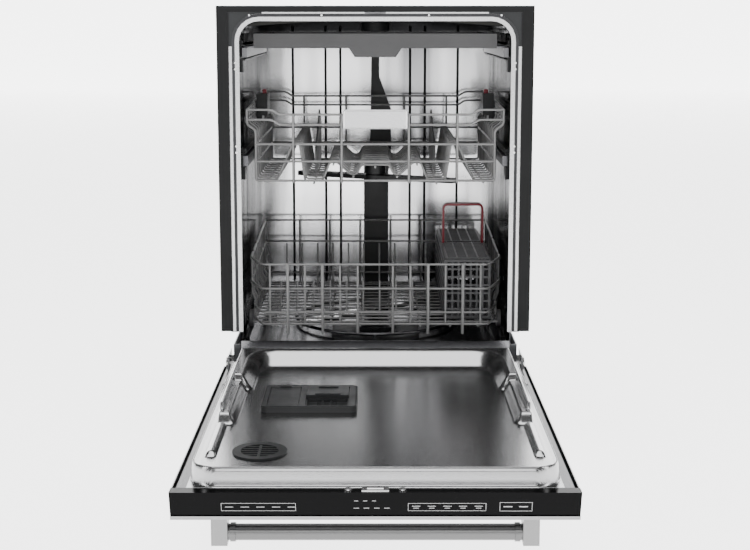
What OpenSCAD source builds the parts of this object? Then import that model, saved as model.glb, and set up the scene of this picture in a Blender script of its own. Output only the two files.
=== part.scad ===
// Built-in dishwasher with a drop-down door, shown with its door open.
// +X is to the right, +Y runs into the machine and +Z is up. The floor is z = 0.
// Modules are written from the tub's front plane (y = 0) and set in place by placed().

/* [Cabinet] */
// Width across the side trims
body_w = 606; // [600:1:608]
// Height from the floor to the top trim
body_h = 870; // [866:1:880]
// Depth from the tub's front plane to the drain outlet at the back
body_d = 548; // [546:1:560]
// Inner width of the wash tub
tub_w = 530; // [528:1:531]
// Inner depth of the wash tub
tub_d = 520; // [518:1:522]
// Height of the tub's ceiling
tub_top = 845; // [842:1:846]
// Height of the tub's floor
tub_floor_z = 200; // [199:1:201]
// Width of the front opening
mouth_w = 520; // [520:1:521]

/* [Door] */
// How far the open door reaches in front of the tub
door_reach = 709; // [700:1:715]
// Height of the open door's outer face
skin_z = 114.5; // [114:0.5:115]
// Height of the open door's inner flange
flange_z = 160; // [160:0.5:160.5]
// Height of the liner's flat face
liner_z = 190; // [189:0.5:190]
// Radius of the handle's bar
bar_r = 12.5; // [10:0.5:14]

/* [Racks] */
// Radius of the rack wires
wire_r = 2; // [1.8:0.1:2.2]
// Number of cross wires in the upper rack's floor
upper_cross_wires = 11; // [8:1:11]
// Number of cross wires in the lower rack's floor
lower_cross_wires = 13; // [8:1:13]
// Radius of the lower rack's wheels
wheel_r = 17; // [15:0.5:17]

/* [Hidden] */

$fn = 48;
front_y = (door_reach - body_d) / 2;
half_w = body_w / 2;
tub_x = tub_w / 2;
mouth_x = mouth_w / 2;
sheet = 1.5;
corner_x = mouth_x - 38;
corner_z = 803;
mouth_top = corner_z + 38;
frame_foot = 236;

// Hinge pivot of the door
pivot_y = -17;
pivot_z = 176;
pin_r = 4;
axle_r = 3.5;
shaft_r = 8;
fit = 0.05;

// Wheel tracks and wheels
track_x0 = 250;
track_x1 = 259;
track_z = 219;
wheel_z = track_z + 0.5 + wheel_r;
front_axle_y = 126;
rear_axle_y = 430;

// Spray arms and filter
hub_y = 260;
filter_y = 150;
lower_arm_r = 215;
upper_arm_r = 185;

// Upper rack
upper_y0 = 45;
upper_y1 = 470;
upper_x_low = 235;
upper_x_high = 252;
upper_profile = [[0, 560], [27, 560], [37, 541], [49, 541], [75, 565], [90, 565], [104, 528],
    [139, 528], [150, 604], [162, 604], [194, 530], [233, 530]];

// Lower rack
lower_y0 = 40;
lower_y1 = 475;
lower_z = 242;
lower_x_low = 246.5;
lower_x_high = 253;
chamfer_x = 27;
chamfer_y = 65;

// Cutlery basket
basket_x0 = 139;
basket_x1 = 234;
basket_y0 = 76;
basket_y1 = 466;
basket_z0 = 244;
basket_z1 = 367;

// ---- helpers ----

module placed() translate([0, front_y, 0]) children();

module both() {
    children();
    mirror([1, 0, 0]) children();
}

// Extrudes an (x, z) outline from y0 to y1
module along_y(y0, y1)
    translate([0, y1, 0]) rotate([90, 0, 0]) linear_extrude(height = y1 - y0) children();

// Extrudes a (y, z) outline from x0 to x1
module along_x(x0, x1)
    translate([x0, 0, 0]) rotate([90, 0, 90]) linear_extrude(height = x1 - x0) children();

// Box from corner a to corner b
module block(a, b) translate(a) cube(b - a);

// Eight-sided wire between two points
module wire(p, q, r = wire_r) {
    d = q - p;
    translate(p)
        rotate([0, acos(d.z / norm(d)), atan2(d.y, d.x)])
            cylinder(h = norm(d), r = r, $fn = 8);
}

function arc(cx, cy, r, a0, a1, n = 6) =
    [for (i = [0:n]) let (a = a0 + (a1 - a0) * i / n) [cx + r * cos(a), cy + r * sin(a)]];

// Outline of an upright door shape: flat foot, round top corners
module arch(half, foot, top, r)
    polygon(concat([[half, foot]], arc(half - r, top - r, r, 0, 90),
        arc(-half + r, top - r, r, 90, 180), [[-half, foot]]));

// Outline of a rectangle with round corners, from corner a to corner b
module round_rect(a, b, r)
    polygon(concat(arc(b.x - r, b.y - r, r, 0, 90), arc(a.x + r, b.y - r, r, 90, 180),
        arc(a.x + r, a.y + r, r, 180, 270), arc(b.x - r, a.y + r, r, 270, 360)));

function unit(v) = v / norm(v);
function left(v) = [-v.y, v.x];
function heading(p, i) = left(unit(p[i + 1] - p[i]));
function miter(p, i, r) =
    i == 0 ? heading(p, 0) * r :
    i == len(p) - 1 ? heading(p, i - 1) * r :
    let (a = heading(p, i - 1), m = unit(a + heading(p, i))) m * (r / (m * a));
function mirrored(p) =
    concat([for (i = [len(p) - 1:-1:1]) [-p[i].x, p[i].y]], [for (q = p) q]);

// Outline of a bent strip of half-width r along the points p
module stroke(p, r = wire_r)
    polygon(concat([for (i = [0:len(p) - 1]) p[i] + miter(p, i, r)],
        [for (i = [len(p) - 1:-1:0]) p[i] - miter(p, i, r)]));

// Band between two nested arches around the tub's mouth, from offset a to offset b
module mouth_band(a, b, foot = frame_foot)
    difference() {
        arch(mouth_x + b, foot, mouth_top + b, 38 + b);
        arch(mouth_x + a, foot - 10, mouth_top + a, 38 + a);
    }

// ---- tub and cabinet ----

module tub_wrap() color("gainsboro") placed() {
    along_y(sheet + 0.1, tub_d) difference() {
        arch(tub_x + sheet, tub_floor_z, tub_top + sheet, 38 + sheet);
        arch(tub_x, tub_floor_z - 10, tub_top, 38);
    }
}

module tub_back() color("silver") placed() {
    along_y(tub_d, tub_d + sheet)
        arch(tub_x + sheet, tub_floor_z, tub_top + sheet, 38 + sheet);
    for (x = [80, 114, 189], s = [-1, 1])
        translate([s * x, tub_d, 240]) cylinder(h = 590, r = 3);
}

module tub_floor() color("silver") placed() {
    difference() {
        union() {
            block([-tub_x + 0.2, sheet + 0.1, tub_floor_z - 2],
                [tub_x - 0.2, tub_d - 0.1, tub_floor_z]);
            block([-tub_x + 0.2, 0, tub_floor_z - 2], [tub_x - 0.2, 4, 217]);
            both() block([track_x0, 28, tub_floor_z], [track_x1, 512, track_z]);
        }
        translate([0, filter_y, tub_floor_z - 3]) cylinder(h = 4, r = 50);
        translate([0, hub_y, tub_floor_z - 3]) cylinder(h = 4, r = 14);
    }
}

module front_frame() color("gainsboro") placed() {
    along_y(0, sheet) mouth_band(0, 21);
    along_y(-2.5, 0) mouth_band(0, 8);
}

module tub_gasket() color("dimgray") placed() along_y(-2.7, 0) mouth_band(8, 14);

module cabinet_trims() color("#202124") placed() {
    along_x(-half_w, half_w)
        polygon([[-3, body_h - 12], [-3, body_h], [60, body_h], [60, body_h - 2],
            [-1, body_h - 2], [-1, body_h - 12]]);
    both() translate([0, 0, 237]) linear_extrude(height = body_h - 237 - 12)
        polygon([[280, -3], [half_w, -3], [half_w, 60], [half_w - 2, 60], [half_w - 2, -1],
            [280, -1]]);
    both() block([half_w - 2, -1, body_h - 12], [half_w, 60, body_h - 2]);
}

module corner_plates() color("#3b3c3e") placed() along_y(-1, 0) both()
    difference() {
        translate([216, 793]) square([64, body_h - 12 - 793]);
        arch(mouth_x + 14.2, 780, mouth_top + 14.2, 52.2);
    }

module insulation_blanket() color("#5a5a58") placed() along_y(20, 500)
    difference() {
        arch(288, 230, 858, 55);
        arch(268, 220, tub_top + sheet + 2, 41);
    }

module base_frame() color("lightslategray") placed() {
    difference() {
        block([-285, 50, 25], [285, 540, tub_floor_z - 2]);
        block([-283, 52, 20], [283, 538, tub_floor_z]);
        translate([-150, 530, 80]) rotate([-90, 0, 0]) cylinder(h = 20, r = 14);
    }
    both() for (y = [66, 500]) difference() {
        block([235, y - 14, 25], [283, y + 14, 28]);
        translate([255, y, 20]) cylinder(h = 15, r = 6 + fit);
    }
    both() block([255, 52, 178], [283, 538, 180]);
    block([-283, 52, 150], [283, 54, 178]);
    block([-75, 54, 118], [75, 75, 120]);
    block([-75, 52, 118], [75, 54, 150]);
}

module leveling_legs() color("dimgray") placed() both() for (y = [66, 500])
    translate([255, y, 0]) {
        cylinder(h = 6, r = 17);
        cylinder(h = 60, r = 6);
        translate([0, 0, 28]) cylinder(h = 6, r = 11, $fn = 6);
    }

module toe_panel() color("#2a2b2d") placed() {
    block([-300, 45, 5], [300, 47, 125]);
    both() block([205, 47, 60], [225, 50, 110]);
}

module sump() color("#3a3c3e") placed() difference() {
    union() {
        translate([0, 0, 130]) linear_extrude(height = tub_floor_z - 2 - 130)
            round_rect([-72, 82], [72, 325], 40);
        translate([0, hub_y, 190]) cylinder(h = 31, r = shaft_r);
    }
    translate([0, filter_y, 138]) cylinder(h = 80, r = 50);
}

module filter_plate() color("#2e3032") placed() difference() {
    translate([0, 0, tub_floor_z]) linear_extrude(height = 3)
        round_rect([-90, 70], [90, 235], 30);
    translate([0, filter_y, tub_floor_z - 1]) cylinder(h = 6, r = 41);
}

module filter_cup() color("#26282a") placed() translate([0, filter_y, 0]) {
    difference() {
        translate([0, 0, 142]) cylinder(h = 64, r = 39);
        translate([0, 0, 146]) cylinder(h = 64, r = 36);
    }
    translate([0, 0, 146]) cylinder(h = 62, r = 10);
    block([-37, -4, 202], [37, 4, 210]);
}

module wash_pump() color("slategray") placed() {
    translate([20, 375, 92]) rotate([0, 90, 0]) cylinder(h = 60, r = 45);
    translate([80, 375, 92]) rotate([0, 90, 0]) cylinder(h = 120, r = 36);
    translate([45, 375, 92]) cylinder(h = 100, r = 14);
}

module drain_pump() color("#4a4d50") placed() {
    translate([-150, 180, 80]) rotate([-90, 0, 0]) cylinder(h = 75, r = 27);
    translate([-150, 250, 80]) rotate([-90, 0, 0]) cylinder(h = body_d - 24 - 250, r = 9);
    translate([-150, body_d - 25, 80]) rotate([-90, 0, 0]) cylinder(h = 25, r = 11);
}

module inlet_valve() color("ivory") placed() {
    block([-255, 95, 62], [-215, 135, 100]);
    translate([-235, 115, 45]) cylinder(h = 20, r = 13.2);
}

module heating_element() color("lightgray") placed() {
    translate([0, hub_y, 209]) rotate_extrude() translate([168, 0]) circle(r = 3.5);
    for (a = [30, 150, 270])
        translate([168 * cos(a), hub_y + 168 * sin(a), a == 270 ? 203 : tub_floor_z])
            cylinder(h = a == 270 ? 4 : 7, r = 5);
}

module feed_tube() color("#26282b") placed() {
    along_y(501, tub_d - 3.5)
        polygon([[-8, 822], [9, 822], [9, 715], [36, 640], [36, 512], [30, 500], [30, 202],
            [-26, 202], [-26, 512], [-12, 560], [-10, 640]]);
    block([-8, 300, 822], [9, tub_d - 3.5, 838]);
    translate([0, 300, 820]) cylinder(h = 18, r = 30);
    block([-8, tub_d - 3.5, 300], [9, tub_d, 312]);
    block([-8, tub_d - 3.5, 700], [9, tub_d, 712]);
}

module latch_strike() color("#1d1e20") placed() {
    block([-20, -2, 855.3], [20, 0, 857.8]);
    both() block([6, -24, 855.4], [9, -2, 857.6]);
    block([-9, -27, 855.4], [9, -24, 857.6]);
}

module mounting_brackets() color("lightgray") placed() both() difference() {
    union() {
        block([170, 62, 858], [200, 64, body_h]);
        block([170, 64, body_h - 2], [200, 96, body_h]);
        block([170, 64, 858], [200, 96, 860]);
    }
    translate([185, 80, body_h - 6]) cylinder(h = 10, r = 2.5);
}

module rail(z0, z1, y0, lip_x) {
    block([tub_x - 6, y0, z0], [tub_x, 505, z1]);
    block([lip_x, y0, z0], [tub_x - 6, 505, z0 + 2.5]);
    block([lip_x, y0, z1 - 2.5], [tub_x - 6, 505, z1]);
    block([255, y0 + 8, z1], [tub_x, y0 + 42, z1 + 8]);
    block([255, y0 + 8, z0 - 22], [tub_x, y0 + 42, z0]);
}

module upper_rails() color("#303234") placed() both() rail(555, 585, 29, 254.5);
module third_rails() color("#303234") placed() both() rail(766, 796, 12, 250);

module hinge_brackets() color("darkgray") placed() both() {
    along_x(290, 292.5) polygon(concat(arc(pivot_y, pivot_z, 12, 90, 270, 8),
        [[62, pivot_z - 12], [62, pivot_z + 12]]));
    block([285, 50.5, pivot_z - 40], [292.5, 62, pivot_z - 12]);
    block([285, 50.5, pivot_z - 12], [290, 62, pivot_z]);
    translate([284.5, pivot_y, pivot_z]) rotate([0, 90, 0]) cylinder(h = 6, r = pin_r);
}

// ---- door ----

module door_skin() color("silver") placed() difference() {
    block([-half_w, -door_reach + 10, skin_z], [half_w, 30, flange_z - 1.8]);
    block([-half_w + 1.5, -door_reach + 16, skin_z + 1.5], [half_w - 1.5, 28.5, flange_z]);
    block([-half_w - 1, -door_reach, skin_z + 5.3], [half_w + 1, -door_reach + 22, flange_z]);
}

// Raised form of the liner, shrunk by g on its sides and top
module liner_form(g) {
    translate([0, 0, flange_z - 2]) linear_extrude(height = liner_z - g - flange_z + 2)
        polygon(concat(arc(-235, -642, 45 - g, 180, 270), arc(235, -642, 45 - g, 270, 360),
            [[280 - g, -46 - g], [-280 + g, -46 - g]]));
    // far lip across the door, with its slope towards the handle
    along_x(-track_x1 + g, track_x1 - g)
        polygon([[-62 - g, liner_z - 4 - g], [-62 - g, 219 - g], [-70 + g / 2, 219 - g],
            [-112 + g, liner_z - 4 - g]]);
    // side banks, high near the hinge and lower further out
    both() along_y(-262 + g, -62 - g)
        polygon([[216 + g, liner_z - 4 - g], [240 + g / 2, 219 - g], [track_x1 - g, 219 - g],
            [track_x1 - g, liner_z - 4 - g]]);
    both() along_y(-469 + g, -262 + g + 0.5)
        polygon([[229 + g, liner_z - 4 - g], [241 + g / 2, 206 - g], [track_x1 - g, 206 - g],
            [track_x1 - g, liner_z - 4 - g]]);
    both() along_y(-440 + g, -262 + g + 0.5)
        polygon([[track_x0 + g / 2, 200 - g], [track_x0 + g / 2, 219 - g],
            [track_x1 - g, 219 - g], [track_x1 - g, 200 - g]]);
    // ribs beside the vent end
    both() along_y(-640 + g, -478 - g)
        polygon(concat(arc(250, liner_z - 3 - g, 9 - g / 2, 0, 180)));
}

module door_liner() color("silver") placed() difference() {
    union() {
        liner_form(0);
        block([-295, -door_reach + 21, flange_z - 1.5], [295, 28, flange_z]);
    }
    translate([0, 0, -0.2]) liner_form(1.2);
}

face_tilt = atan(12 / 40);

module control_panel() color("#101113") placed() along_x(-half_w, half_w)
    polygon([[-door_reach, flange_z], [-door_reach + 12, 120], [-door_reach + 20.5, 120],
        [-door_reach + 20.5, flange_z]]);

// Places a child on the panel's sloping face: x across, z down from its top edge
module on_face() translate([0, -door_reach, flange_z]) rotate([face_tilt, 0, 0]) children();

module key_frame(x0, x1, z0, z1) on_face() along_y(-0.3, 0) difference() {
    translate([x0, z1]) square([x1 - x0, z0 - z1]);
    translate([x0 + 0.6, z1 + 0.6]) square([x1 - x0 - 1.2, z0 - z1 - 1.2]);
}

module key_dash(x, z, w, h = 1) on_face() block([x - w / 2, -0.3, z - h], [x + w / 2, 0, z]);

module control_marks() color("gainsboro") placed() {
    key_frame(-227, -117, -18.6, -32.5);
    key_frame(48, 163, -18.6, -32.5);
    key_frame(183, 231, -17, -33);
    for (i = [0:4]) {
        key_dash(-215 + 23 * i, -25, 12);
        key_dash(60 + 23 * i, -23.5, 12);
        key_dash(60 + 23 * i, -27, 8);
    }
    for (i = [0:1]) key_dash(195 + 23 * i, -24, 13, 1.6);
    for (i = [0:2]) key_dash(-28 + 13 * i, -14, 6);
    for (i = [0:3]) key_dash(-28 + 15 * i, -27, 8);
}

module handle_posts() color("lightgray") placed() both() along_x(220.5, 245)
    polygon([[-684, skin_z], [-652, skin_z], [-652, 76], [-660, 68], [-684, 68]]);

module handle_bar() color("silver") placed() translate([0, -668, 84]) rotate([0, 90, 0]) {
    translate([0, 0, -220.5]) cylinder(h = 441, r = bar_r);
    for (s = [-1, 1]) translate([0, 0, s * 213 - 4]) cylinder(h = 8, r = bar_r + 2);
}

module dispenser_body() color("#2c2e30") placed() difference() {
    translate([0, 0, liner_z]) linear_extrude(height = 10) round_rect([-194, -402], [-31, -266], 10);
    // rinse-aid lid's seat
    block([-184, -394, 195], [-130, -278, 201]);
    // detergent cup and the cover's path
    block([-117, -392, 192], [-48, -345, 201]);
    block([-120, -394, 197], [-45, -276, 201]);
}

module rinse_aid_lid() color("#37393b") placed() {
    block([-183, -393, 195.5], [-131, -279, 199.5]);
    block([-168, -281, 199.5], [-148, -279, 202.2]);
    block([-168, -281, 200.3], [-148, -268, 202.2]);
}

module detergent_lid() color("#3a3c3e") placed() difference() {
    block([-119, -340, 197.4], [-46, -278, 203]);
    block([-100, -300, 200.5], [-65, -286, 204]);
}

module vent_grille() color("#1c1d1f") placed() translate([-177, -611, liner_z]) {
    difference() {
        cylinder(h = 2.5, r = 42);
        translate([0, 0, -1]) cylinder(h = 6, r = 29);
    }
    for (i = [-2:2]) block([-28, i * 10 - 1.5, 0], [28, i * 10 + 1.5, 2]);
    block([-2, -28, 0], [2, 28, 2]);
}

module door_latch() color("#6d6f72") placed() {
    difference() {
        block([-20, -706, flange_z], [20, -690, flange_z + 2]);
        block([-12, -702, flange_z + 1], [12, -694, flange_z + 3]);
    }
    both() translate([40, -698, flange_z]) cylinder(h = 2.5, r = 6);
}

module hinge_arms() color("#2f3133") placed() both() {
    along_x(286, 289) difference() {
        polygon(concat(arc(pivot_y, pivot_z, 12, 0, 180, 10),
            [[pivot_y - 12, flange_z], [pivot_y + 12, flange_z]]));
        translate([pivot_y, pivot_z]) circle(r = pin_r + fit);
    }
    block([281, -120, flange_z], [289, pivot_y + 10, flange_z + 2.5]);
}

// ---- spray arms ----

module spray_arm(r, turn, z, height) translate([0, hub_y, z]) rotate([0, 0, turn]) {
    linear_extrude(height = height) polygon(concat(arc(r - 14, 0, 14, -90, 90, 8),
        arc(0, 0, 24, 60, 120, 4), arc(-r + 14, 0, 14, 90, 270, 8), arc(0, 0, 24, 240, 300, 4)));
    for (i = [1:4], s = [-1, 1])
        translate([s * i * (r - 20) / 4, s * 3, height - 0.5]) cylinder(h = 1.7, r = 3);
}

module lower_spray_arm() color("lightgray") placed() difference() {
    union() {
        spray_arm(lower_arm_r, 45, 222, 9);
        translate([0, hub_y, 218]) cylinder(h = 16, r = 22);
    }
    translate([0, hub_y, 210]) cylinder(h = 12, r = shaft_r + fit);
}

module upper_spray_arm() color("#3a3c3f") placed() {
    spray_arm(upper_arm_r, -25, 509, 9);
    translate([0, hub_y, 507]) cylinder(h = 12.5, r = 20);
}

// ---- upper rack ----

module upper_spray_feed() color("#2b2d2f") placed() {
    translate([0, hub_y, 521]) cylinder(h = 27, r = 22);
    block([-14, hub_y, 530], [14, 498, 548]);
    for (y = [hub_y + 10, 420]) block([-10, y, 548], [10, y + 8, 560 - wire_r]);
}

module upper_rack_slides() color("#56585a") placed() both()
    block([249, 32, 560], [258.6, 500, 580]);

module upper_rack_floor() color("silver") placed() {
    for (i = [0:upper_cross_wires - 1])
        along_y(60 + 40.5 * i - wire_r, 60 + 40.5 * i + wire_r) stroke(mirrored(upper_profile));
    for (p = [[0, 560], [43, 541], [82.5, 565], [121, 528], [156, 604], [213, 530]],
            s = [-1, 1])
        if (p.x > 0 || s > 0)
            wire([s * p.x, upper_y0 + wire_r, p.y + 1.7 * wire_r * (p.y > 530 ? -1 : 1)],
                [s * p.x, upper_y1 - wire_r, p.y + 1.7 * wire_r * (p.y > 530 ? -1 : 1)]);
}

module upper_front_wire(y, z, rise)
    along_y(y - wire_r, y + wire_r)
        stroke(mirrored([[0, z], [188, z], [203, z + rise], [upper_x_high, z + rise]]));

module upper_rack_end_walls() color("silver") placed() {
    for (y = [upper_y0, upper_y1]) {
        lift = y == upper_y0 ? 0 : 13;
        upper_front_wire(y, 660 + lift, 9.5);
        upper_front_wire(y, 640 + lift, 10);
        for (z = [602, 568, 530])
            wire([-upper_x_low, y, z], [upper_x_low, y, z]);
        for (x = [66, 161], s = [-1, 1])
            wire([s * x, y, 528], [s * x, y, 660 + lift], wire_r * 1.2);
        both() wire([upper_x_low, y, 530 - wire_r], [upper_x_low, y, 629]);
        both() wire([upper_x_low, y, 628], [upper_x_high, y, 642]);
        both() wire([upper_x_high, y, 640], [upper_x_high, y, 669.5 + lift + wire_r]);
    }
}

module upper_rack_side_walls() color("silver") placed() both() {
    for (i = [0:7])
        along_y(86.5 + 53 * i - wire_r, 86.5 + 53 * i + wire_r)
            stroke([[upper_x_low, 530 - wire_r], [upper_x_low, 629], [upper_x_high, 641],
                [upper_x_high, 672 + (i + 1) * 1.3]]);
    a = upper_y0 + wire_r * 1.3;
    b = upper_y1 - wire_r * 1.3;
    wire([upper_x_high, a, 669.5], [upper_x_high, b, 682.5]);
    wire([upper_x_high, a, 650], [upper_x_high, b, 663]);
    for (z = [602, 568]) wire([upper_x_low, a, z], [upper_x_low, b, z]);
}

module upper_rack_handle() color("whitesmoke") placed()
    along_y(upper_y0 - 8, upper_y0 - wire_r * 1.3) round_rect([-63, 632.6], [63, 670], 3);

module rack_adjusters() color("#2c2e30") placed() both() {
    block([238, 210, 562], [248.5, 330, 626]);
    block([226, 240, 645], [249, 300, 690]);
    block([238, 240, 626], [248.5, 300, 645]);
    color("firebrick") block([230, 262, 690], [238, 278, 698]);
}

// A tall pad that leans on its own hinge wire and folds towards the middle
module cup_flap() {
    along_x(119.5, 122.5)
        polygon([[120, 536], [400, 536], [400, 590], [380, 636], [330, 652], [140, 580]]);
}

module left_cup_flap() color("gray") placed() mirror([1, 0, 0]) cup_flap();
module right_cup_flap() color("gray") placed() cup_flap();

// ---- lower rack ----

module lower_loop(z, half_x) {
    translate([0, 0, z - wire_r]) linear_extrude(height = 2 * wire_r)
        stroke([[-half_x, lower_y0 + chamfer_y + 7], [-half_x, lower_y0 + chamfer_y],
            [-226, lower_y0], [226, lower_y0], [half_x, lower_y0 + chamfer_y],
            [half_x, lower_y0 + chamfer_y + 7]]);
}

module lower_rack_end_walls() color("silver") placed() {
    for (z = [363, 314]) lower_loop(z, lower_x_high);
    for (z = [266, lower_z]) lower_loop(z, lower_x_low);
    for (x = [105, 174], s = [-1, 1])
        wire([s * x, lower_y0 - 3, 221], [s * x, lower_y0 - 3, 365], 2.4);
    for (s = [-1, 1])
        wire([s * 35, lower_y0 - 3, 223], [s * 35, lower_y0 - 3, 268], 2.4);
    for (x = [35, 70, 140, 210], s = [-1, 1])
        wire([s * x, lower_y0 + 3, lower_z], [s * x, lower_y0 + 3, 363]);
    // rear wall
    for (z = [388, 339]) wire([-lower_x_high, lower_y1, z], [lower_x_high, lower_y1, z]);
    for (z = [266, lower_z]) wire([-lower_x_low, lower_y1, z], [lower_x_low, lower_y1, z]);
    for (x = [35, 105, 174], s = [-1, 1])
        wire([s * x, lower_y1 + 3, lower_z - 2], [s * x, lower_y1 + 3, 390]);
}

module lower_rack_side_walls() color("silver") placed() both() {
    a = lower_y0 + chamfer_y + 7;
    b = lower_y1 - wire_r * 1.3;
    for (z = [314, 363])
        along_x(lower_x_high - wire_r * 0.9, lower_x_high + wire_r * 0.9)
            stroke([[a, z], [b, z + 25]]);
    for (z = [lower_z, 266])
        block([lower_x_low - wire_r * 0.9, a, z - wire_r], [lower_x_low + wire_r * 0.9, b, z + wire_r]);
    for (i = [0:6])
        along_y(152 + 50 * i - wire_r, 152 + 50 * i + wire_r)
            stroke([[lower_x_low, lower_z - 2.5 * wire_r], [lower_x_low, 276], [lower_x_high, 288],
                [lower_x_high, 369 + 3 * i]]);
    // wheel hangers and their axle pins
    for (y = [front_axle_y, rear_axle_y]) {
        block([lower_x_low - 2.6, y - 8, wheel_z - 7], [lower_x_low + 2.6, y + 8, 272]);
        translate([lower_x_low + 2, y, wheel_z]) rotate([0, 90, 0])
            cylinder(h = 9.6, r = axle_r);
    }
}

module lower_rack_floor() color("silver") placed() {
    for (i = [0:lower_cross_wires - 1])
        wire([-lower_x_low + wire_r, 62 + 32.5 * i, lower_z],
            [lower_x_low - wire_r, 62 + 32.5 * i, lower_z]);
    for (x = [30, 90, 150, 205], s = [-1, 1])
        wire([s * x, lower_y0 + wire_r, lower_z - 3.5], [s * x, lower_y1 - wire_r, lower_z - 3.5]);
}

// Row of plate tines on a hinge wire at (y, z)
module tine_row(y, z, height, lean) {
    wire([-205, y, z], [125, y, z], 2.4);
    for (i = [0:9])
        wire([-195 + 34 * i, y, z], [-195 + 34 * i, y + lean, z + height]);
}

tine_z = 247;
module front_tines() color("silver") placed() tine_row(130, tine_z, 64, 10);
module rear_tines() color("silver") placed() tine_row(330, tine_z, 109, 14);

module wheel(y) both() translate([250, y, wheel_z]) rotate([0, 90, 0]) difference() {
    cylinder(h = 8, r = wheel_r);
    translate([0, 0, -1]) cylinder(h = 10, r = axle_r + fit);
}

module front_wheels() color("#6a6c6e") placed() wheel(front_axle_y);
module rear_wheels() color("#6a6c6e") placed() wheel(rear_axle_y);

module cutlery_basket() color("gray") placed() {
    w = basket_x1 - basket_x0;
    difference() {
        block([basket_x0, basket_y0, basket_z0], [basket_x1, basket_y1, basket_z1]);
        block([basket_x0 + 2.5, basket_y0 + 2.5, basket_z0 + 2.5],
            [basket_x1 - 2.5, basket_y1 - 2.5, basket_z1 + 1]);
        // windows in the ends, the sides and the floor
        for (i = [0:2], j = [0:2])
            block([basket_x0 + 8 + 28 * i, basket_y0 - 1, basket_z0 + 14 + 34 * j],
                [basket_x0 + 31 + 28 * i, basket_y0 + 4, basket_z0 + 40 + 34 * j]);
        for (i = [0:3], j = [0:1])
            block([basket_x0 - 1, basket_y0 + 14 + 92 * i, basket_z0 + 14 + 50 * j],
                [basket_x1 + 1, basket_y0 + 92 + 92 * i, basket_z0 + 54 + 50 * j]);
        for (i = [0:1], j = [0:4])
            block([basket_x0 + 10 + 40 * i, basket_y0 + 12 + 75 * j, basket_z0 - 1],
                [basket_x0 + 42 + 40 * i, basket_y0 + 74 + 75 * j, basket_z0 + 4]);
    }
    block([basket_x0 + 2.5, 264, basket_z1 - 4], [basket_x1 - 2.5, 286, basket_z1]);
}

module basket_handle() color("firebrick") placed() translate([188, 0, 0])
    along_y(264, 286) difference() {
        arch(44, basket_z1, 455, 12);
        arch(39.5, basket_z1 - 10, 450, 7.5);
    }

module basket_lid(y0, y1) difference() {
    block([basket_x0 + 1, y0, basket_z1 + 0.4], [basket_x1 - 1, y1, basket_z1 + 3.4]);
    for (j = [0:floor((y1 - y0 - 20) / 22)], x = [basket_x0 + 9, basket_x0 + 51])
        block([x, y0 + 8 + 22 * j, basket_z1 - 1], [x + 34, y0 + 20 + 22 * j, basket_z1 + 5]);
}

module basket_lid_front() color("gray") placed() basket_lid(basket_y0 + 1, 263);
module basket_lid_rear() color("gray") placed() basket_lid(287, basket_y1 - 1);

// ---- third rack ----

module third_rack_tray() color("#4b4d50") placed() {
    difference() {
        block([-235, 30, 789], [235, 490, 817]);
        block([-232.5, 32.5, 796], [232.5, 487.5, 820]);
        block([-230, 35, 780], [230, 485, 793.5]);
        for (i = [0:2], j = [0:3])
            block([-219 + 147 * i, 46 + 108 * j, 780], [-75 + 147 * i, 146 + 108 * j, 800]);
    }
    along_y(30, 33) polygon([[-51, 789], [51, 789], [40, 772], [-40, 772]]);
}

module third_rack_slides() color("#56585a") placed() both() {
    block([247, 20, 772], [256.5, 500, 790]);
    for (y = [60, 400]) block([235, y, 790], [256.5, y + 40, 796.5 - 4]);
}

tub_wrap();
tub_back();
tub_floor();
front_frame();
tub_gasket();
cabinet_trims();
corner_plates();
insulation_blanket();
base_frame();
leveling_legs();
toe_panel();
sump();
filter_plate();
wash_pump();
drain_pump();
inlet_valve();
heating_element();
feed_tube();
latch_strike();
mounting_brackets();
upper_rails();
third_rails();
hinge_brackets();
door_skin();
door_liner();
control_panel();
control_marks();
handle_bar();
handle_posts();
dispenser_body();
vent_grille();
door_latch();
hinge_arms();
detergent_lid();
rinse_aid_lid();
filter_cup();
lower_spray_arm();
upper_spray_arm();
upper_rack_slides();
upper_rack_floor();
upper_rack_end_walls();
upper_rack_side_walls();
upper_rack_handle();
rack_adjusters();
upper_spray_feed();
left_cup_flap();
right_cup_flap();
lower_rack_floor();
lower_rack_end_walls();
lower_rack_side_walls();
front_tines();
rear_tines();
front_wheels();
rear_wheels();
cutlery_basket();
basket_handle();
basket_lid_front();
basket_lid_rear();
third_rack_tray();
third_rack_slides();
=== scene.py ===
"""Looks of a built-in dishwasher with its door open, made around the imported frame."""

import math

import bpy
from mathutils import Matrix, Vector


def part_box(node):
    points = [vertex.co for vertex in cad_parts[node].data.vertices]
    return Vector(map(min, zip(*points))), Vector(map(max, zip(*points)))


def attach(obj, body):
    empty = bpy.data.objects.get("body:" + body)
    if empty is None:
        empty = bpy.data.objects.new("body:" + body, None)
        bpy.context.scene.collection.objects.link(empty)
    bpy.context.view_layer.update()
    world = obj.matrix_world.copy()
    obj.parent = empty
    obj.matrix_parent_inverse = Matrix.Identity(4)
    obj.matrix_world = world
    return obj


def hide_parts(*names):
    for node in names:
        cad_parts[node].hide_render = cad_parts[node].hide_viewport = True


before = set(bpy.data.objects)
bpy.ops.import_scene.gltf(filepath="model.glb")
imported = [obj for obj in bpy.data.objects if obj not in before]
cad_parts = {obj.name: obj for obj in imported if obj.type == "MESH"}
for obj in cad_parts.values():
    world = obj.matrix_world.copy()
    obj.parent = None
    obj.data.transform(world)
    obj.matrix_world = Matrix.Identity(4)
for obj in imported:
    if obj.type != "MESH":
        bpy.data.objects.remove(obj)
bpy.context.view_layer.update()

# ---------------------------------------------------------------- places

MM = 0.001
SHEET = 1.5  # the front frame's sheet, whose rear face is the far side of its box
FRONT_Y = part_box("front_frame")[1][1] - SHEET * MM


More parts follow.
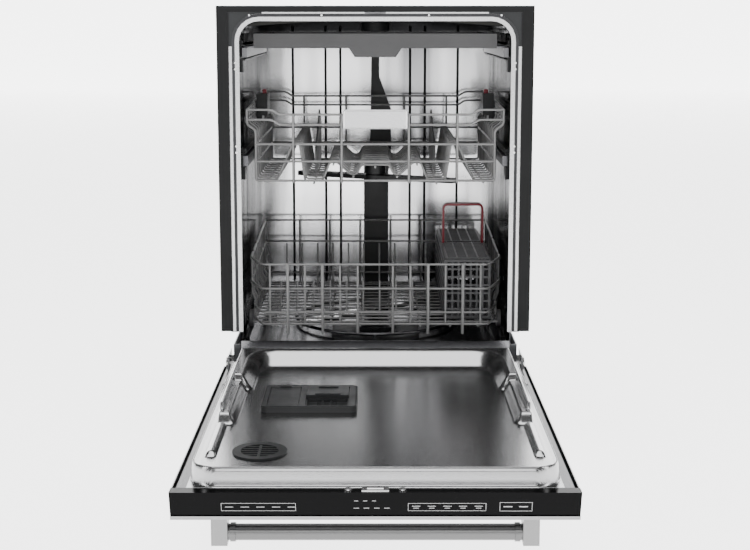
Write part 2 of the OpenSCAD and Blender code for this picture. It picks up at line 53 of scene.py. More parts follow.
def at(x, y, z):
    """A point in metres from millimetres, with y counted from the tub's front plane."""
    return (x * MM, FRONT_Y + y * MM, z * MM)


WIRE = 2.0  # radius of a common rack wire

# ---------------------------------------------------------------- camera, light, stage


def make_camera():
    """Looks down a little from in front, with a small downward shift as the framing needs."""
    data = bpy.data.cameras.new("camera")
    data.lens = 64.9
    data.sensor_width = 36.0
    data.shift_y = -0.06
    data.clip_end = 50
    camera = bpy.data.objects.new("camera", data)
    camera.location = at(-0.5, -2604, 844)
    camera.rotation_euler = (math.radians(90 - 8.85), 0, 0)
    bpy.context.scene.collection.objects.link(camera)
    bpy.context.scene.camera = camera


def area_light(name, place, target, size, power):
    """A rectangular soft light at a place, turned to its target."""
    data = bpy.data.lights.new(name, "AREA")
    data.shape = "RECTANGLE"
    data.size, data.size_y = size
    data.energy = power
    light = bpy.data.objects.new(name, data)
    light.location = place
    aim = Vector(target) - Vector(place)
    light.rotation_euler = aim.to_track_quat("-Z", "Y").to_euler()
    bpy.context.scene.collection.objects.link(light)


def make_stage():
    """Dim world, four soft lights, and a white floor and backdrop that glow a little."""
    world = bpy.data.worlds.new("studio")
    world.use_nodes = True
    background = world.node_tree.nodes["Background"]
    background.inputs["Color"].default_value = (1, 1, 1, 1)
    background.inputs["Strength"].default_value = 0.15
    bpy.context.scene.world = world
    area_light("ceiling", (0, -0.5, 3.1), (0, -0.1, 0), (2.4, 1.8), 60)
    area_light("front", (0, -4.3, 1.7), (0, 0.3, 0.6), (2.2, 1.8), 50)
    area_light("left_strip", (-2.4, -1.6, 1.3), (0, 0.1, 0.5), (0.6, 2.2), 26)
    area_light("right_strip", (2.4, -1.6, 1.3), (0, 0.1, 0.5), (0.6, 2.2), 26)
    white = plain("stage_white", (0.93, 0.93, 0.93), 0.9)
    shader = white.node_tree.nodes["Principled BSDF"]
    shader.inputs["Emission Color"].default_value = (1, 1, 1, 1)
    shader.inputs["Emission Strength"].default_value = 3.2
    for name, corners in (
        ("floor", [(-30, -30, 0), (30, -30, 0), (30, 14, 0), (-30, 14, 0)]),
        ("backdrop", [(-30, 14, 0), (30, 14, 0), (30, 14, 9), (-30, 14, 9)]),
    ):
        mesh = bpy.data.meshes.new(name)
        mesh.from_pydata(corners, [], [(0, 1, 2, 3)])
        plane = bpy.data.objects.new(name, mesh)
        bpy.context.scene.collection.objects.link(plane)
        mesh.materials.append(white)


# ---------------------------------------------------------------- materials


def new_material(name):
    """A fresh material with its node tree and its shader."""
    material = bpy.data.materials.new(name)
    material.use_nodes = True
    tree = material.node_tree
    return material, tree, tree.nodes["Principled BSDF"]


def noise(tree, scale, stretch=(1, 1, 1), detail=3.0):
    """Noise in object space, stretched by its own scale on each axis."""
    coords = tree.nodes.new("ShaderNodeTexCoord")
    mapping = tree.nodes.new("ShaderNodeMapping")
    mapping.inputs["Scale"].default_value = stretch
    texture = tree.nodes.new("ShaderNodeTexNoise")
    texture.inputs["Scale"].default_value = scale
    texture.inputs["Detail"].default_value = detail
    tree.links.new(coords.outputs["Object"], mapping.inputs["Vector"])
    tree.links.new(mapping.outputs["Vector"], texture.inputs["Vector"])
    return texture.outputs["Fac"]


def spread(tree, value, low, high):
    """Maps a noise value from its middle range to low..high."""
    node = tree.nodes.new("ShaderNodeMapRange")
    node.inputs["From Min"].default_value = 0.3
    node.inputs["From Max"].default_value = 0.7
    node.inputs["To Min"].default_value = low
    node.inputs["To Max"].default_value = high
    tree.links.new(value, node.inputs["Value"])
    return node.outputs["Result"]


def colour_ramp(tree, value, dark, light, low=0.3, high=0.7):
    """Colour that runs from dark to light as a value goes from low to high."""
    ramp = tree.nodes.new("ShaderNodeValToRGB")
    ramp.color_ramp.elements[0].position = low
    ramp.color_ramp.elements[1].position = high
    ramp.color_ramp.elements[0].color = (*dark, 1)
    ramp.color_ramp.elements[1].color = (*light, 1)
    tree.links.new(value, ramp.inputs["Fac"])
    return ramp.outputs["Color"]


def tint(tree, shader, value, dark, light):
    """Base colour that runs from dark to light with a value."""
    tree.links.new(colour_ramp(tree, value, dark, light), shader.inputs["Base Color"])


def bump(tree, shader, value, strength, distance):
    """Bends the shader's normals by a height value."""
    node = tree.nodes.new("ShaderNodeBump")
    node.inputs["Strength"].default_value = strength
    node.inputs["Distance"].default_value = distance
    tree.links.new(value, node.inputs["Height"])
    tree.links.new(node.outputs["Normal"], shader.inputs["Normal"])


def plain(name, colour, rough):
    """Paint with hardly any drift in tone."""
    material, tree, shader = new_material(name)
    value = noise(tree, 40)
    tint(tree, shader, value, [c * 0.97 for c in colour], colour)
    shader.inputs["Roughness"].default_value = rough
    return material


def steel(name, colour, rough, grain, wave=0.0, stretch=(1, 1, 1)):
    """Stainless sheet: fine grain along one axis, and slow waves in its reflections."""
    material, tree, shader = new_material(name)
    shader.inputs["Metallic"].default_value = 1.0
    fine = noise(tree, 60, grain, 4)
    dark = [c * 0.93 for c in colour]
    tint(tree, shader, fine, dark, colour)
    low, high = rough
    tree.links.new(spread(tree, fine, low, high), shader.inputs["Roughness"])
    if wave:
        bump(tree, shader, noise(tree, 4, stretch, 1.5), 1.0, wave)
    else:
        bump(tree, shader, fine, 0.15, 0.0002)
    return material


def plastic(name, colour, rough, grain=900, depth=0.25, shine=0.35):
    """Moulded plastic: fine spark-eroded grain and a faint drift in tone."""
    material, tree, shader = new_material(name)
    drift = noise(tree, 9)
    tint(tree, shader, drift, [c * 0.85 for c in colour], [c * 1.1 for c in colour])
    tree.links.new(spread(tree, noise(tree, 25), rough - 0.05, rough + 0.06),
                   shader.inputs["Roughness"])
    bump(tree, shader, noise(tree, grain, detail=2), depth, 0.0001)
    shader.inputs["Specular IOR Level"].default_value = shine
    return material


def tub_steel(name, dark, light, rough, ceiling):
    """Polished tub sheet: painted reflections as long upright streaks of dark and bright, and painted shade
    that darkens it from the height ceiling up.
    """
    material, tree, shader = new_material(name)
    shader.inputs["Metallic"].default_value = 1.0
    # Painted reflection: the base colour runs in long upright dark and bright streaks, standing in for the
    # room mirrored in the polished sheet; the same noise also varies the roughness.
    reflection_streaks = noise(tree, 11, (1, 1, 0.06), 2)
    painted_reflection = colour_ramp(tree, reflection_streaks, dark, light, 0.44, 0.62)
    coords = tree.nodes.new("ShaderNodeTexCoord")
    split = tree.nodes.new("ShaderNodeSeparateXYZ")
    tree.links.new(coords.outputs["Object"], split.inputs["Vector"])
    # Painted shade: from the height ceiling up, over 3 cm, the colour fades to near black, as in the shade
    # under the tub's top.
    height = tree.nodes.new("ShaderNodeMapRange")
    height.inputs["From Min"].default_value = ceiling
    height.inputs["From Max"].default_value = ceiling + 0.03
    tree.links.new(split.outputs["Z"], height.inputs["Value"])
    shade_mix = tree.nodes.new("ShaderNodeMix")
    shade_mix.data_type = "RGBA"
    colour_sockets = [socket for socket in shade_mix.inputs if socket.type == "RGBA"]
    # Near-black colour of the painted shade at the top.
    colour_sockets[1].default_value = (0.02, 0.02, 0.021, 1)
    tree.links.new(height.outputs["Result"], shade_mix.inputs[0])
    tree.links.new(painted_reflection, colour_sockets[0])
    result = [socket for socket in shade_mix.outputs if socket.type == "RGBA"][0]
    tree.links.new(result, shader.inputs["Base Color"])
    tree.links.new(spread(tree, reflection_streaks, *rough), shader.inputs["Roughness"])
    bump(tree, shader, noise(tree, 4, (2.2, 2.2, 0.4), 1.5), 1.0, 0.004)
    return material


# How much the grain is squeezed on each axis: it runs long on the axis with 1.
ALONG_X = (1, 60, 60)
ALONG_Y = (60, 1, 60)
ALONG_Z = (60, 60, 1)

MATERIALS = {
    # tub and tub_back: painted reflection streaks between their two colours, and painted shade above the
    # height given last.
    "tub": tub_steel("tub_steel", (0.006, 0.006, 0.0065), (0.2, 0.2, 0.204), (0.08, 0.2), 0.78),
    "tub_back": tub_steel("tub_back_steel", (0.3, 0.3, 0.31), (0.8, 0.8, 0.81), (0.1, 0.2),
                          0.79),
    "tub_floor": steel("tub_floor_steel", (0.3, 0.3, 0.31), (0.12, 0.22), ALONG_Y, 0.002),
    "liner": steel("liner_steel", (0.36, 0.36, 0.365), (0.17, 0.26), ALONG_X),
    "frame": steel("frame_steel", (0.46, 0.46, 0.465), (0.22, 0.32), ALONG_Z),
    "skin": steel("skin_steel", (0.24, 0.24, 0.243), (0.22, 0.32), ALONG_X),
    "bar": steel("bar_steel", (0.12, 0.12, 0.12), (0.2, 0.28), ALONG_X),
    "post": steel("post_steel", (0.2, 0.2, 0.2), (0.3, 0.38), ALONG_Z),
    "flange": steel("flange_steel", (0.26, 0.26, 0.264), (0.25, 0.35), ALONG_Y),
    "bright": steel("bright_steel", (0.7, 0.7, 0.7), (0.1, 0.16), ALONG_X),
    "hinge": steel("hinge_steel", (0.12, 0.12, 0.125), (0.3, 0.4), ALONG_Y),
    "slide": steel("slide_steel", (0.1, 0.1, 0.105), (0.25, 0.35), ALONG_Y),
    "zinc": steel("zinc_sheet", (0.13, 0.133, 0.138), (0.35, 0.5), (8, 8, 8)),
    "trim": plastic("trim_black", (0.006, 0.0062, 0.0065), 0.35, shine=0.12),
    "corner": plastic("corner_grey", (0.022, 0.023, 0.024), 0.5, shine=0.15),
    "dark": plastic("dark_moulding", (0.010, 0.0105, 0.011), 0.36, shine=0.2),
    "tray": plastic("tray_moulding", (0.05, 0.05, 0.051), 0.42, shine=0.25),
    "dispenser": plastic("dispenser_moulding", (0.022, 0.023, 0.024), 0.36, shine=0.35),
    "grey": plastic("basket_moulding", (0.07, 0.07, 0.073), 0.42),
    "flap": plastic("flap_moulding", (0.11, 0.11, 0.112), 0.45),
    "glass": plastic("panel_gloss", (0.001, 0.001, 0.0012), 0.12, 200, 0.02, 0.05),
    "mark": plastic("mark_ink", (0.36, 0.36, 0.36), 0.5),
    "edge": plastic("pale_edge", (0.28, 0.28, 0.28), 0.4),
    "plate": steel("handle_plate", (0.5, 0.5, 0.51), (0.25, 0.35), ALONG_X),
    "red": plastic("handle_red", (0.16, 0.004, 0.012), 0.35),
    "wire": plastic("wire_nylon", (0.17, 0.17, 0.17), 0.3, 400, 0.1, 0.5),
    "rubber": plastic("seal_rubber", (0.03, 0.03, 0.032), 0.6, shine=0.15),
    "felt": plastic("blanket_felt", (0.02, 0.02, 0.019), 0.9, 300, 0.9, 0.1),
    "pump": plastic("pump_moulding", (0.06, 0.065, 0.07), 0.45),
    "ivory": plastic("valve_moulding", (0.5, 0.48, 0.42), 0.45),
}

# Polished sheet seen almost edge-on stays dark instead of turning white.
for grazed, tone in (("tub", 0.1), ("flange", 0.45)):
    grazed_shader = MATERIALS[grazed].node_tree.nodes["Principled BSDF"]
    grazed_shader.inputs["Specular Tint"].default_value = (tone, tone, tone, 1)

# ---------------------------------------------------------------- mesh and curve helpers


def smooth_edges(obj, width, segments=3):
    """Rounds the sharp edges of a CAD node or piece without moving its faces."""
    bevel = obj.modifiers.new("edge", "BEVEL")
    bevel.width = width * MM
    bevel.segments = segments
    bevel.limit_method = "ANGLE"
    bevel.angle_limit = math.radians(40)
    bevel.harden_normals = False
    for polygon in obj.data.polygons:
        polygon.use_smooth = False


def dress(node, material, edge=0.0):
    """Gives a CAD node its material, and soft edges if it wants them."""
    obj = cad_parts[node]
    obj.data.materials.clear()
    obj.data.materials.append(MATERIALS[material])
    if edge:
        smooth_edges(obj, edge)


def rounded(points, radius, steps=5):
    """The same route with its corners turned on small curves."""
    out = [Vector(points[0])]
    for before, here, after in zip(points, points[1:], points[2:]):
        a, b, c = Vector(before), Vector(here), Vector(after)
        r = min(radius, (a - b).length / 2.1, (c - b).length / 2.1)
        start = b + (a - b).normalized() * r
        end = b + (c - b).normalized() * r
        for i in range(steps + 1):
            t = i / steps
            out.append(start * (1 - t) ** 2 + b * 2 * t * (1 - t) + end * t * t)
    out.append(Vector(points[-1]))
    return out


def wires(name, body, routes, radius=WIRE, corner=6, material="wire", replaces=()):
    """One piece of round wires, each along its own route in millimetres."""
    curve = bpy.data.curves.new(name, "CURVE")
    curve.dimensions = "3D"
    curve.bevel_depth = radius * MM
    curve.bevel_resolution = 3
    curve.use_fill_caps = True
    for route in routes:
        points = rounded(route, corner) if len(route) > 2 else route
        spline = curve.splines.new("POLY")
        spline.points.add(len(points) - 1)
        for point, place in zip(spline.points, points):
            point.co = (*at(*place), 1)
        spline.use_smooth = True
    obj = bpy.data.objects.new(name, curve)
    bpy.context.scene.collection.objects.link(obj)
    curve.materials.append(MATERIALS[material])
    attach(obj, body)
    if replaces:
        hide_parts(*replaces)
    return obj


def mesh_piece(name, body, verts, faces, material, smooth=True, replaces=()):
    """A mesh piece from points in millimetres."""
    mesh = bpy.data.meshes.new(name)
    mesh.from_pydata([at(*v) for v in verts], [], faces)
    mesh.validate()
    if smooth:
        for polygon in mesh.polygons:
            polygon.use_smooth = True
    mesh.materials.append(MATERIALS[material])
    obj = bpy.data.objects.new(name, mesh)
    bpy.context.scene.collection.objects.link(obj)
    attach(obj, body)
    if replaces:
        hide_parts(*replaces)
    return obj


def box_part(low, high):
    """Points and faces of a box between two corners."""
    verts = [(x, y, z) for x in (low[0], high[0]) for y in (low[1], high[1])
             for z in (low[2], high[2])]
    faces = [(0, 1, 3, 2), (4, 6, 7, 5), (0, 4, 5, 1), (2, 3, 7, 6), (0, 2, 6, 4), (1, 5, 7, 3)]
    return verts, faces


def bars(length, count, rim, web):
    """Line positions across a plate with count windows between rims and webs."""
    window = (length - 2 * rim - (count - 1) * web) / count
    lines = [0]
    for i in range(count):
        start = rim + i * (window + web)
        lines += [start, start + window]
    return lines + [length]


def grille_part(corner, across, up, columns, rows, rim=5, web=4):
    """A flat plate with columns x rows windows; across and up are its edges as vectors."""
    corner, across, up = Vector(corner), Vector(across), Vector(up)
    us = bars(across.length, columns, rim, web)
    vs = bars(up.length, rows, rim, web)
    verts = [tuple(corner + across.normalized() * u + up.normalized() * v) for v in vs for u in us]
    faces = []
    for j in range(len(vs) - 1):
        for i in range(len(us) - 1):
            if i % 2 == 0 or j % 2 == 0:
                a = j * len(us) + i
                faces.append((a, a + 1, a + len(us) + 1, a + len(us)))
    return verts, faces


def join_parts(parts):
    """Points and faces of several parts as one."""
    verts, faces = [], []
    for part_verts, part_faces in parts:
        base = len(verts)
        verts += part_verts
        faces += [tuple(i + base for i in face) for face in part_faces]
    return verts, faces


def boxes(name, body, parts, material, edge=0.6):
    """One piece made of boxes with soft edges."""
    verts, faces = join_parts([box_part(*part) for part in parts])
    obj = mesh_piece(name, body, verts, faces, material, smooth=False)
    smooth_edges(obj, edge)
    return obj


def plates(name, body, parts, material, thick, replaces=()):
    """One piece made of flat plates, given their thickness evenly about their own plane."""
    verts, faces = join_parts(parts)
    obj = mesh_piece(name, body, verts, faces, material, smooth=False, replaces=replaces)
    shell = obj.modifiers.new("thickness", "SOLIDIFY")
    shell.thickness = thick * MM
    shell.offset = 0
    smooth_edges(obj, 0.5, 2)
    return obj


# ---------------------------------------------------------------- racks


def mirror_route(route):
    """The same route on the other side of the middle plane."""
    return [(-x, y, z) for x, y, z in route]


UPPER_FRONT, UPPER_REAR = 45, 470
UPPER_LOW_X, UPPER_HIGH_X = 235, 252
UPPER_RIM_Z, UPPER_RIM_RISE = 669.5, 13
CROSS_WIRES, CROSS_PITCH = 11, 40.5
# Half of the floor's cross-section, from the middle out to the foot of the side wall.
UPPER_PROFILE = [(0, 560), (27, 560), (37, 541), (49, 541), (75, 565), (90, 565), (104, 528),
                 (139, 528), (150, 604), (162, 604), (194, 530), (235, 530)]


def upper_rack():
    """Upper rack's floor, end walls and rims, as round wires."""
    rise = UPPER_PROFILE + [(UPPER_LOW_X, 629), (UPPER_HIGH_X, 641), (UPPER_HIGH_X, 676)]
    section = [(-x, z) for x, z in rise[:0:-1]] + rise
    floor, side = [], []
    for i in range(CROSS_WIRES):
        y = 60 + CROSS_PITCH * i
        top = UPPER_RIM_Z + UPPER_RIM_RISE * (y - UPPER_FRONT) / (UPPER_REAR - UPPER_FRONT)
        floor.append([(x, y, min(z, top)) for x, z in section])
    for x, z in ((43, 541), (82.5, 565), (121, 528), (156, 604), (213, 530)):
        for s in (-1, 1):
            floor.append([(s * x, UPPER_FRONT, z - 3.6), (s * x, UPPER_REAR, z - 3.6)])
    floor.append([(0, UPPER_FRONT, 556.4), (0, UPPER_REAR, 556.4)])
    wires("upper_rack_basket_wires", "upper_rack", floor, replaces=("upper_rack_floor",))
    ends = []
    for y, lift in ((UPPER_FRONT, 0), (UPPER_REAR, UPPER_RIM_RISE)):
        for z, up in ((660, 9.5), (640, 10)):
            z += lift
            half = [(188, y, z), (203, y, z + up), (UPPER_HIGH_X, y, z + up)]
            ends.append([*mirror_route(half)[::-1], *half])
        for z in (602, 568):
            ends.append([(-UPPER_LOW_X, y, z), (UPPER_LOW_X, y, z)])
        top = UPPER_RIM_Z + lift
        half = [(UPPER_LOW_X, y, 530), (UPPER_LOW_X, y, 629), (UPPER_HIGH_X, y, 641),
                (UPPER_HIGH_X, y, top)]
        ends.append([*mirror_route(half)[::-1], *half])
        for x in (66, 161):
            for s in (-1, 1):
                ends.append([(s * x, y - 3.6, 526), (s * x, y - 3.6, 660 + lift)])
    wires("upper_rack_end_wires", "upper_rack", ends, WIRE * 1.15,
          replaces=("upper_rack_end_walls",))
    for s in (-1, 1):
        for z, up, x in ((UPPER_RIM_Z, UPPER_RIM_RISE, UPPER_HIGH_X),
                         (650, UPPER_RIM_RISE, UPPER_HIGH_X),
                         (602, 0, UPPER_LOW_X), (568, 0, UPPER_LOW_X)):
            side.append([(s * x, UPPER_FRONT, z), (s * x, UPPER_REAR, z + up)])
    wires("upper_rack_rim_wires", "upper_rack", side, WIRE * 1.1,
          replaces=("upper_rack_side_walls",))


LOWER_FRONT, LOWER_REAR = 40, 475
LOWER_LOW_X, LOWER_HIGH_X = 246.5, 253
LOWER_RIM_Z, LOWER_RIM_RISE = 363, 25


def lower_rack():
    """Lower rack's end walls, front posts, side walls and floor, as round wires."""
    ends, side, floor = [], [], []
    for z, x, up in ((LOWER_RIM_Z, LOWER_HIGH_X, LOWER_RIM_RISE),
                     (314, LOWER_HIGH_X, LOWER_RIM_RISE),
                     (266, LOWER_LOW_X, 0), (242, LOWER_LOW_X, 0)):
        ends.append([(-x, LOWER_REAR, z + up), (-x, 105, z + up * 0.15), (-226, LOWER_FRONT, z),
                     (226, LOWER_FRONT, z), (x, 105, z + up * 0.15), (x, LOWER_REAR, z + up)])
        side.append([(-x, LOWER_REAR, z + up), (x, LOWER_REAR, z + up)])
    for x in (35, 70, 140, 210):
        for s in (-1, 1):
            ends.append([(s * x, LOWER_FRONT + 3.5, 240),
                         (s * x, LOWER_FRONT + 3.5, LOWER_RIM_Z)])
    for x in (35, 105, 174):
        for s in (-1, 1):
            ends.append([(s * x, LOWER_REAR + 3.5, 240),
                         (s * x, LOWER_REAR + 3.5, LOWER_RIM_Z + LOWER_RIM_RISE)])
    wires("lower_rack_end_wires", "lower_rack", ends, WIRE * 1.1, 12,
          replaces=("lower_rack_end_walls",))
    posts = []
    for s in (-1, 1):
        for x in (105, 174):
            posts.append([(s * x, LOWER_FRONT - 3.8, 223), (s * x, LOWER_FRONT - 3.8, 364)])
        posts.append([(s * 35, LOWER_FRONT - 3.8, 225), (s * 35, LOWER_FRONT - 3.8, 268)])
    wires("lower_rack_front_posts", "lower_rack", posts, 3.0)
    for i in range(9):
        y = 125 + 40 * i
        top = LOWER_RIM_Z + LOWER_RIM_RISE * (y - LOWER_FRONT) / (LOWER_REAR - LOWER_FRONT)
        for s in (-1, 1):
            side.append([(s * LOWER_LOW_X, y, 240), (s * LOWER_LOW_X, y, 276),
                         (s * LOWER_HIGH_X, y, 288), (s * LOWER_HIGH_X, y, top)])
    wires("lower_rack_side_wires", "lower_rack", side)
    for i in range(13):
        y = 62 + 32.5 * i
        floor.append([(-LOWER_LOW_X, y, 242), (LOWER_LOW_X, y, 242)])
    for x in (30, 90, 150, 205):
        for s in (-1, 1):
            floor.append([(s * x, LOWER_FRONT, 238.4), (s * x, LOWER_REAR, 238.4)])
    wires("lower_rack_floor_wires", "lower_rack", floor, replaces=("lower_rack_floor",))


TINE_Z = 247
TINES, TINE_PITCH = 10, 34


def tines(name, body, node, y, height, lean):
    """One folding row: a bar across the rack with its leaning tines."""
    routes = [[(-205, y, TINE_Z), (125, y, TINE_Z)]]
    for i in range(TINES):
        x = -195 + TINE_PITCH * i
        routes.append([(x, y, TINE_Z), (x, y + lean, TINE_Z + height)])
    wires(name, body, routes, replaces=(node,))


# ---------------------------------------------------------------- door liner


def step(value, low, high):
    """Smooth 0 to 1 as value goes from low to high."""
    t = min(1, max(0, (value - low) / (high - low)))
    return t * t * (3 - 2 * t)


FLANGE_Z = 160
FLOOR_Z = 190
BANK_Z = 219
NEAR_Y, FAR_Y = -687, -46
HALF_X = 280
LINER_SHEET = 1.2


def inside_form(x, y, radius=45):
    """Distance from the edge of the liner's raised form, positive inside it."""
    dx, dy = HALF_X - abs(x), y - NEAR_Y
    if dx < radius and dy < radius:
        return radius - math.hypot(radius - dx, radius - dy)
    return min(dx, dy, FAR_Y - y)


def liner_height(x, y):
    """Height of the liner's sheet: flange, raised floor, then banks, tracks and ribs on it."""
    edge = inside_form(x, y)
    z = FLANGE_Z + (FLOOR_Z - FLANGE_Z) * step(edge, 0.3, 5.5)
    ax = abs(x)
    if edge <= 0 or ax > 262:
        return z - (LINER_SHEET * step(ax, 262, 266) if edge > 6 else 0)
    behind = 1 - step(y, -66, -62)
    out = math.hypot(max(ax - 190, 0) / 52, max(y + 154, 0) / 84)
    bank = step(out, 0.5, 1) * (1 - step(-y, 252, 272)) * behind
    low_bank = 0.6 * step(ax, 226, 242) * (1 - step(-y, 455, 474)) * behind
    track = step(ax, 249.5, 252) * (1 - step(-y, 437, 441)) * behind
    height = max(bank, low_bank, track) * (1 - step(ax, 256.5, 259))
    rib_end = step(-y, 470, 482) * (1 - step(-y, 626, 640))
    rib = 0.27 * math.sqrt(max(0.0, 1 - ((ax - 250) / 8.5) ** 2)) * rib_end
    return z + (BANK_Z - FLOOR_Z) * max(height, rib)


def grid_lines(low, high, coarse, fine_bands, fine):
    """Grid positions, close together inside the given bands."""
    lines, value = [], low
    while value < high:
        lines.append(value)
        tight = any(a <= value <= b for a, b in fine_bands)
        value += fine if tight else coarse
    return lines + [high]


def door_liner():
    """The liner as one formed sheet, with its grid close together where the form turns."""
    half = grid_lines(0, 295, 7, [(210, 282)], 0.9)
    xs = [-x for x in half[:0:-1]] + half
    ys = grid_lines(-688, 28, 7, [(-689, -618), (-486, -432), (-276, -248), (-165, -40)], 1.2)
    verts = [(x, y, liner_height(x, y)) for y in ys for x in xs]
    width = len(xs)
    faces = []
    for j in range(len(ys) - 1):
        for i in range(width - 1):
            a = j * width + i
            faces.append((a, a + 1, a + width + 1, a + width))
    obj = mesh_piece("door_liner_sheet", "door", verts, faces, "liner", replaces=("door_liner",))
    obj.data.materials.append(MATERIALS["flange"])
    for polygon in obj.data.polygons:
        if abs(polygon.center.x) > (HALF_X + 0.5) * MM:
            polygon.material_index = 1
    shell = obj.modifiers.new("sheet", "SOLIDIFY")
    shell.thickness = LINER_SHEET * MM
    shell.offset = -1


# ---------------------------------------------------------------- CAD nodes that stay


def dress_nodes():
    """A material for every CAD node, and the width of its soft edges in millimetres."""
    for node, material, edge in (
        ("tub_wrap", "tub", 0), ("tub_back", "tub_back", 0), ("tub_floor", "tub_floor", 1.0),
        ("front_frame", "frame", 0.6), ("tub_gasket", "rubber", 0.8), ("cabinet_trims", "trim", 0.8),
        ("corner_plates", "corner", 0.3), ("insulation_blanket", "felt", 3.0),
        ("base_frame", "zinc", 0.5), ("leveling_legs", "dark", 1.0), ("toe_panel", "trim", 0.6),
        ("sump", "dark", 1.0), ("filter_plate", "dark", 0.8), ("wash_pump", "pump", 2.0),
        ("drain_pump", "pump", 1.5), ("inlet_valve", "ivory", 1.2), ("heating_element", "hinge", 0),
        ("feed_tube", "dark", 1.5), ("latch_strike", "hinge", 0.4), ("mounting_brackets", "zinc", 0.3),
        ("upper_rails", "dark", 0.6), ("third_rails", "dark", 0.6), ("hinge_brackets", "bright", 0.4),
        ("door_skin", "skin", 0.6), ("control_panel", "glass", 1.0), ("control_marks", "mark", 0),
        ("handle_bar", "bar", 0.6), ("handle_posts", "post", 1.6), ("dispenser_body", "dispenser", 1.8),
        ("vent_grille", "corner", 0.8), ("door_latch", "bright", 0.4), ("hinge_arms", "hinge", 0.4),
        ("detergent_lid", "dispenser", 0.8), ("rinse_aid_lid", "dispenser", 0.8), ("filter_cup", "dark", 0.8),
        ("lower_spray_arm", "bright", 1.5), ("upper_spray_arm", "dark", 1.5),
        ("upper_rack_slides", "slide", 0.6), ("upper_rack_handle", "plate", 0.8),
        ("rack_adjusters", "dark", 1.2), ("upper_spray_feed", "dark", 1.2),
        ("left_cup_flap", "flap", 0.8), ("right_cup_flap", "flap", 0.8),
        ("front_wheels", "flap", 0.8), ("rear_wheels", "flap", 0.8), ("cutlery_basket", "grey", 0.5),
        ("basket_handle", "red", 0.8), ("basket_lid_front", "grey", 0.5),
        ("basket_lid_rear", "grey", 0.5), ("third_rack_tray", "tray", 0.8),
        ("third_rack_slides", "slide", 0.6),
        ("upper_rack_floor", "wire", 0), ("upper_rack_end_walls", "wire", 0),
        ("upper_rack_side_walls", "wire", 0), ("lower_rack_floor", "wire", 0),
        ("lower_rack_end_walls", "wire", 0), ("lower_rack_side_walls", "wire", 0),
        ("front_tines", "wire", 0), ("rear_tines", "wire", 0), ("door_liner", "liner", 0),
    ):
        dress(node, material, edge)


# ---------------------------------------------------------------- small pieces


def cutlery_basket():
    """Basket of thin grilles with a rim, its two lids, and the pale edges of its handle."""
    x0, x1, y0, y1, z0, z1 = 140.5, 232.5, 77.5, 464.5, 245.5, 366
    rim_z = 364.6
    wide, deep, tall = (x1 - x0, 0, 0), (0, y1 - y0, 0), (0, 0, z1 - z0)
    parts = [grille_part((x0, y, z0), wide, tall, 7, 7) for y in (y0, y1)]
    parts += [grille_part((x, y0, z0), deep, tall, 26, 7) for x in (x0, x1)]
    parts += [grille_part((x0, y0, z0), wide, deep, 6, 24)]
    parts += [grille_part((x0, 264, z1), wide, (0, 22, 0), 1, 1, 8)]
    plates("basket_shell", "lower_rack", parts, "grey", 2.6, replaces=("cutlery_basket",))
    rim = [(x0, y0, rim_z), (x1, y0, rim_z), (x1, y1, rim_z), (x0, y1, rim_z), (x0, y0, rim_z)]
    wires("basket_rim", "lower_rack", [rim], 2.2, 8, "grey")
    for name, body, node, low, high in (
        ("basket_front_lid_grille", "basket_front_lid", "basket_lid_front", 78, 262),
        ("basket_rear_lid_grille", "basket_rear_lid", "basket_lid_rear", 288, 464),
    ):
        lid = grille_part((141.5, low, 369), (90, 0, 0), (0, high - low, 0), 4, 16, 5, 3.5)
        plates(name, body, [lid], "grey", 2.6, replaces=(node,))
    for y, name in ((265.5, "front"), (284.5, "rear")):
        arch = [(145.5, y, 368), (145.5, y, 453), (230.5, y, 453), (230.5, y, 368)]
        wires("basket_handle_edge_" + name, "lower_rack", [arch], 1.5, 12, "edge")


def tub_details():
    """Back wall's pressed ribs, the frame's rivets and the rails' rollers."""
    ribs = [[(s * x, 517.2, 236), (s * x, 517.2, 828)] for x in (80, 114, 189) for s in (-1, 1)]
    wires("tub_back_ribs", "cabinet", ribs, 1.5, material="dark")
    rivets = [[(s * 268, 0.5, z), (s * 268, -2.9, z)] for z in (590, 602, 750, 762)
              for s in (-1, 1)]
    rivets += [[(s * x, 0.5, 852), (s * x, -2.9, 852)] for x in (102, 240) for s in (-1, 1)]
    wires("frame_rivets", "cabinet", rivets, 1.8, material="bright")
    rollers = []
    for s in (-1, 1):
        for z in (748, 797, 539, 585):
            rollers.append([(s * 257, 52, z), (s * 263, 52, z)])
    wires("rail_rollers", "cabinet", rollers, 6, material="dark")


def rack_details():
    """Red tabs on the height adjusters, and a border round the upper rack's handle plate."""
    tabs = []
    for s in (-1, 1):
        xs = sorted((s * 229.7, s * 238.3))
        tabs.append(((xs[0], 261.7, 689), (xs[1], 278.3, 698.4)))
    boxes("adjuster_tabs", "upper_rack", tabs, "red", 1.2)
    frame_route = [(-61, 37.2, 634.6), (61, 37.2, 634.6), (61, 37.2, 668), (-61, 37.2, 668),
                   (-61, 37.2, 634.6)]
    wires("upper_handle_border", "upper_rack", [frame_route], 1.3, 3, "bright")


def dispenser_details():
    """The dispenser's rim, its small works in the open cup, and the cover's grip."""
    left, right, near, far, z = -192, -33, -400, -268, 199.6
    rim = [(left, near, z), (right, near, z), (right, far, z), (left, far, z), (left, near, z)]
    wires("dispenser_rim", "door", [rim], 1.2, 9, "corner")
    boxes("dispenser_works", "door", [((-100, -385, 192), (-66, -352, 194)),
                                      ((-92, -390, 192), (-88, -350, 196)),
                                      ((-78, -390, 192), (-74, -350, 196))], "corner", 0.4)
    boxes("detergent_grip", "detergent_cover", [((-104, -338, 202.6), (-60, -333, 204.4))],
          "corner", 0.6)


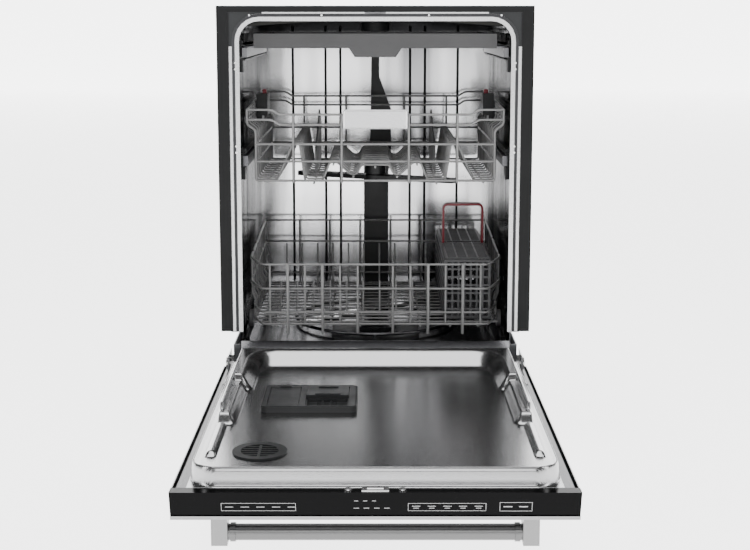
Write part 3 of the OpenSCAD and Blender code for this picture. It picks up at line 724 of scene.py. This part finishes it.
WRAP_FOOT, WRAP_TURN = 230, 803
WRAP_FLAT, WRAP_RADIUS = 233, 53.5  # half of the flat top, and the radius of its shoulders
WRAP_X = WRAP_FLAT + WRAP_RADIUS
WRAP_SIDE, WRAP_OVER = 0.35, 0.3  # shares of the outline up one side and over the top
WRAP_STEPS, WRAP_ROWS = 60, 49


def wrap_outline():
    """Points up one side, over the top and down the other, each with its outward direction."""
    outline = []
    climb = WRAP_TURN - WRAP_FOOT
    quarter = math.pi / 2
    down = 1 - WRAP_SIDE
    for k in range(WRAP_STEPS + 1):
        t = k / WRAP_STEPS
        if t < WRAP_SIDE:
            outline.append(((WRAP_X, WRAP_FOOT + climb * t / WRAP_SIDE), (1, 0)))
        elif t <= down:
            a = math.pi * (t - WRAP_SIDE) / WRAP_OVER
            out, up = math.cos(a), math.sin(a)
            side = 1 if a < quarter else -1
            reach = min(1, min(1, max(0, abs(a - quarter) / quarter)) * 2.2)
            place = (side * (WRAP_FLAT * reach) + WRAP_RADIUS * out, WRAP_TURN + WRAP_RADIUS * up)
            outline.append((place, (out, up)))
        else:
            outline.append(((-WRAP_X, WRAP_TURN - climb * (t - down) / WRAP_SIDE), (-1, 0)))
    return outline


def insulation():
    """Felt wrap round the tub, slightly quilted on its outside."""
    outline = wrap_outline()
    width = len(outline)
    verts, faces = [], []
    for j in range(WRAP_ROWS):
        y = 21 + 478 * j / (WRAP_ROWS - 1)
        for k, ((x, z), (out, up)) in enumerate(outline):
            puff = 0.9 * abs(math.sin(math.pi * j / 6)) * abs(math.sin(math.pi * k / 5))
            verts.append((x + out * (puff - 0.5), y, z + up * (puff - 0.5)))
    for j in range(WRAP_ROWS - 1):
        for k in range(width - 1):
            a = j * width + k
            faces.append((a, a + 1, a + width + 1, a + width))
    obj = mesh_piece("felt_wrap", "cabinet", verts, faces, "felt", replaces=("insulation_blanket",))
    shell = obj.modifiers.new("thickness", "SOLIDIFY")
    shell.thickness = 14 * MM
    shell.offset = 1


make_camera()
make_stage()
dress_nodes()
upper_rack()
lower_rack()
tines("front_tine_wires", "front_tine_row", "front_tines", 130, 64, 10)
tines("rear_tine_wires", "rear_tine_row", "rear_tines", 330, 109, 14)
door_liner()
cutlery_basket()
tub_details()
rack_details()
dispenser_details()
insulation()
